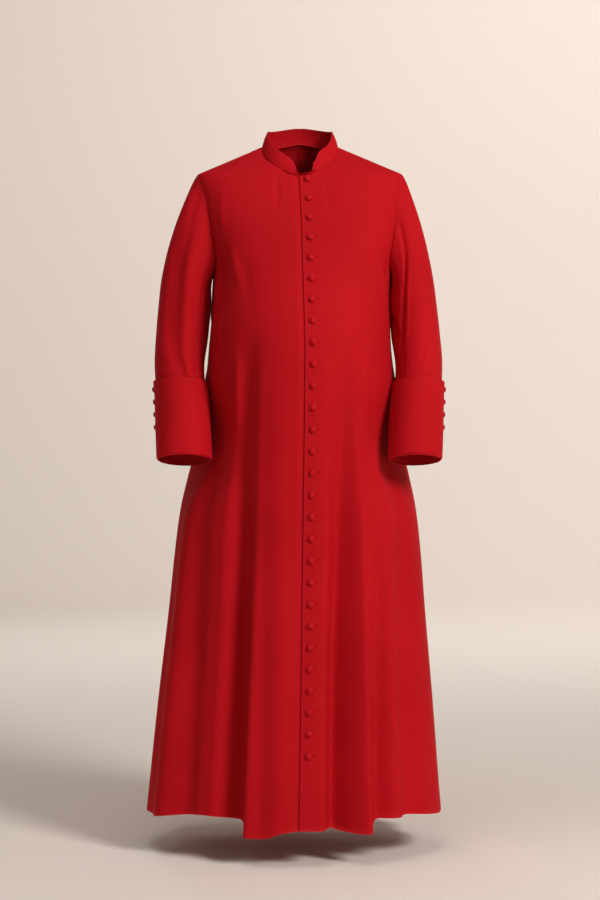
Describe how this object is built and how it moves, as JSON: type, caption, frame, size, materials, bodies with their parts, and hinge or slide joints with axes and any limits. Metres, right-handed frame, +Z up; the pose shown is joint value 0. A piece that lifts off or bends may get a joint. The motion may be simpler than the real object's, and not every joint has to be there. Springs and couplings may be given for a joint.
{
  "type": "cassock",
  "caption": "Full-length button-front cassock with a stand collar, set-in sleeves, turned-back cuffs and a flared skirt, in its hollow worn form.",
  "frame": {"origin": "between the shoulders, level with the top of the shoulder seams at the neck, where the wearer's shoulders hold the garment", "axes": "+Z up, towards the collar's top edge; -Y towards the buttoned front; +X towards the wearer's left side"},
  "size_m": [0.6418, 0.4959, 1.5018],
  "materials": {
    "red_cloth": "matte fine wool, smooth",
    "red_button": "matte cloth-covered dome"
  },
  "bodies": {
    "root": {"front_left": "red_cloth", "front_right": "red_cloth", "back_left": "red_cloth", "back_right": "red_cloth", "side_back_left": "red_cloth", "side_back_right": "red_cloth", "collar": "red_cloth", "sleeve_top_left": "red_cloth", "sleeve_under_left": "red_cloth", "sleeve_top_right": "red_cloth", "sleeve_under_right": "red_cloth", "cuff_left": "red_cloth", "cuff_right": "red_cloth", "button_01": "red_button", "button_02": "red_button", "button_03": "red_button", "button_04": "red_button", "button_05": "red_button", "button_06": "red_button", "button_07": "red_button", "button_08": "red_button", "button_09": "red_button", "button_10": "red_button", "button_11": "red_button", "button_12": "red_button", "button_13": "red_button", "button_14": "red_button", "button_15": "red_button", "button_16": "red_button", "button_17": "red_button", "button_18": "red_button", "button_19": "red_button", "button_20": "red_button", "button_21": "red_button", "button_22": "red_button", "button_23": "red_button", "button_24": "red_button", "button_25": "red_button", "button_26": "red_button", "button_27": "red_button", "button_28": "red_button", "cuff_button_left_1": "red_button", "cuff_button_left_2": "red_button", "cuff_button_left_3": "red_button", "cuff_button_left_4": "red_button", "cuff_button_right_1": "red_button", "cuff_button_right_2": "red_button", "cuff_button_right_3": "red_button", "cuff_button_right_4": "red_button"}
  },
  "joints": []
}
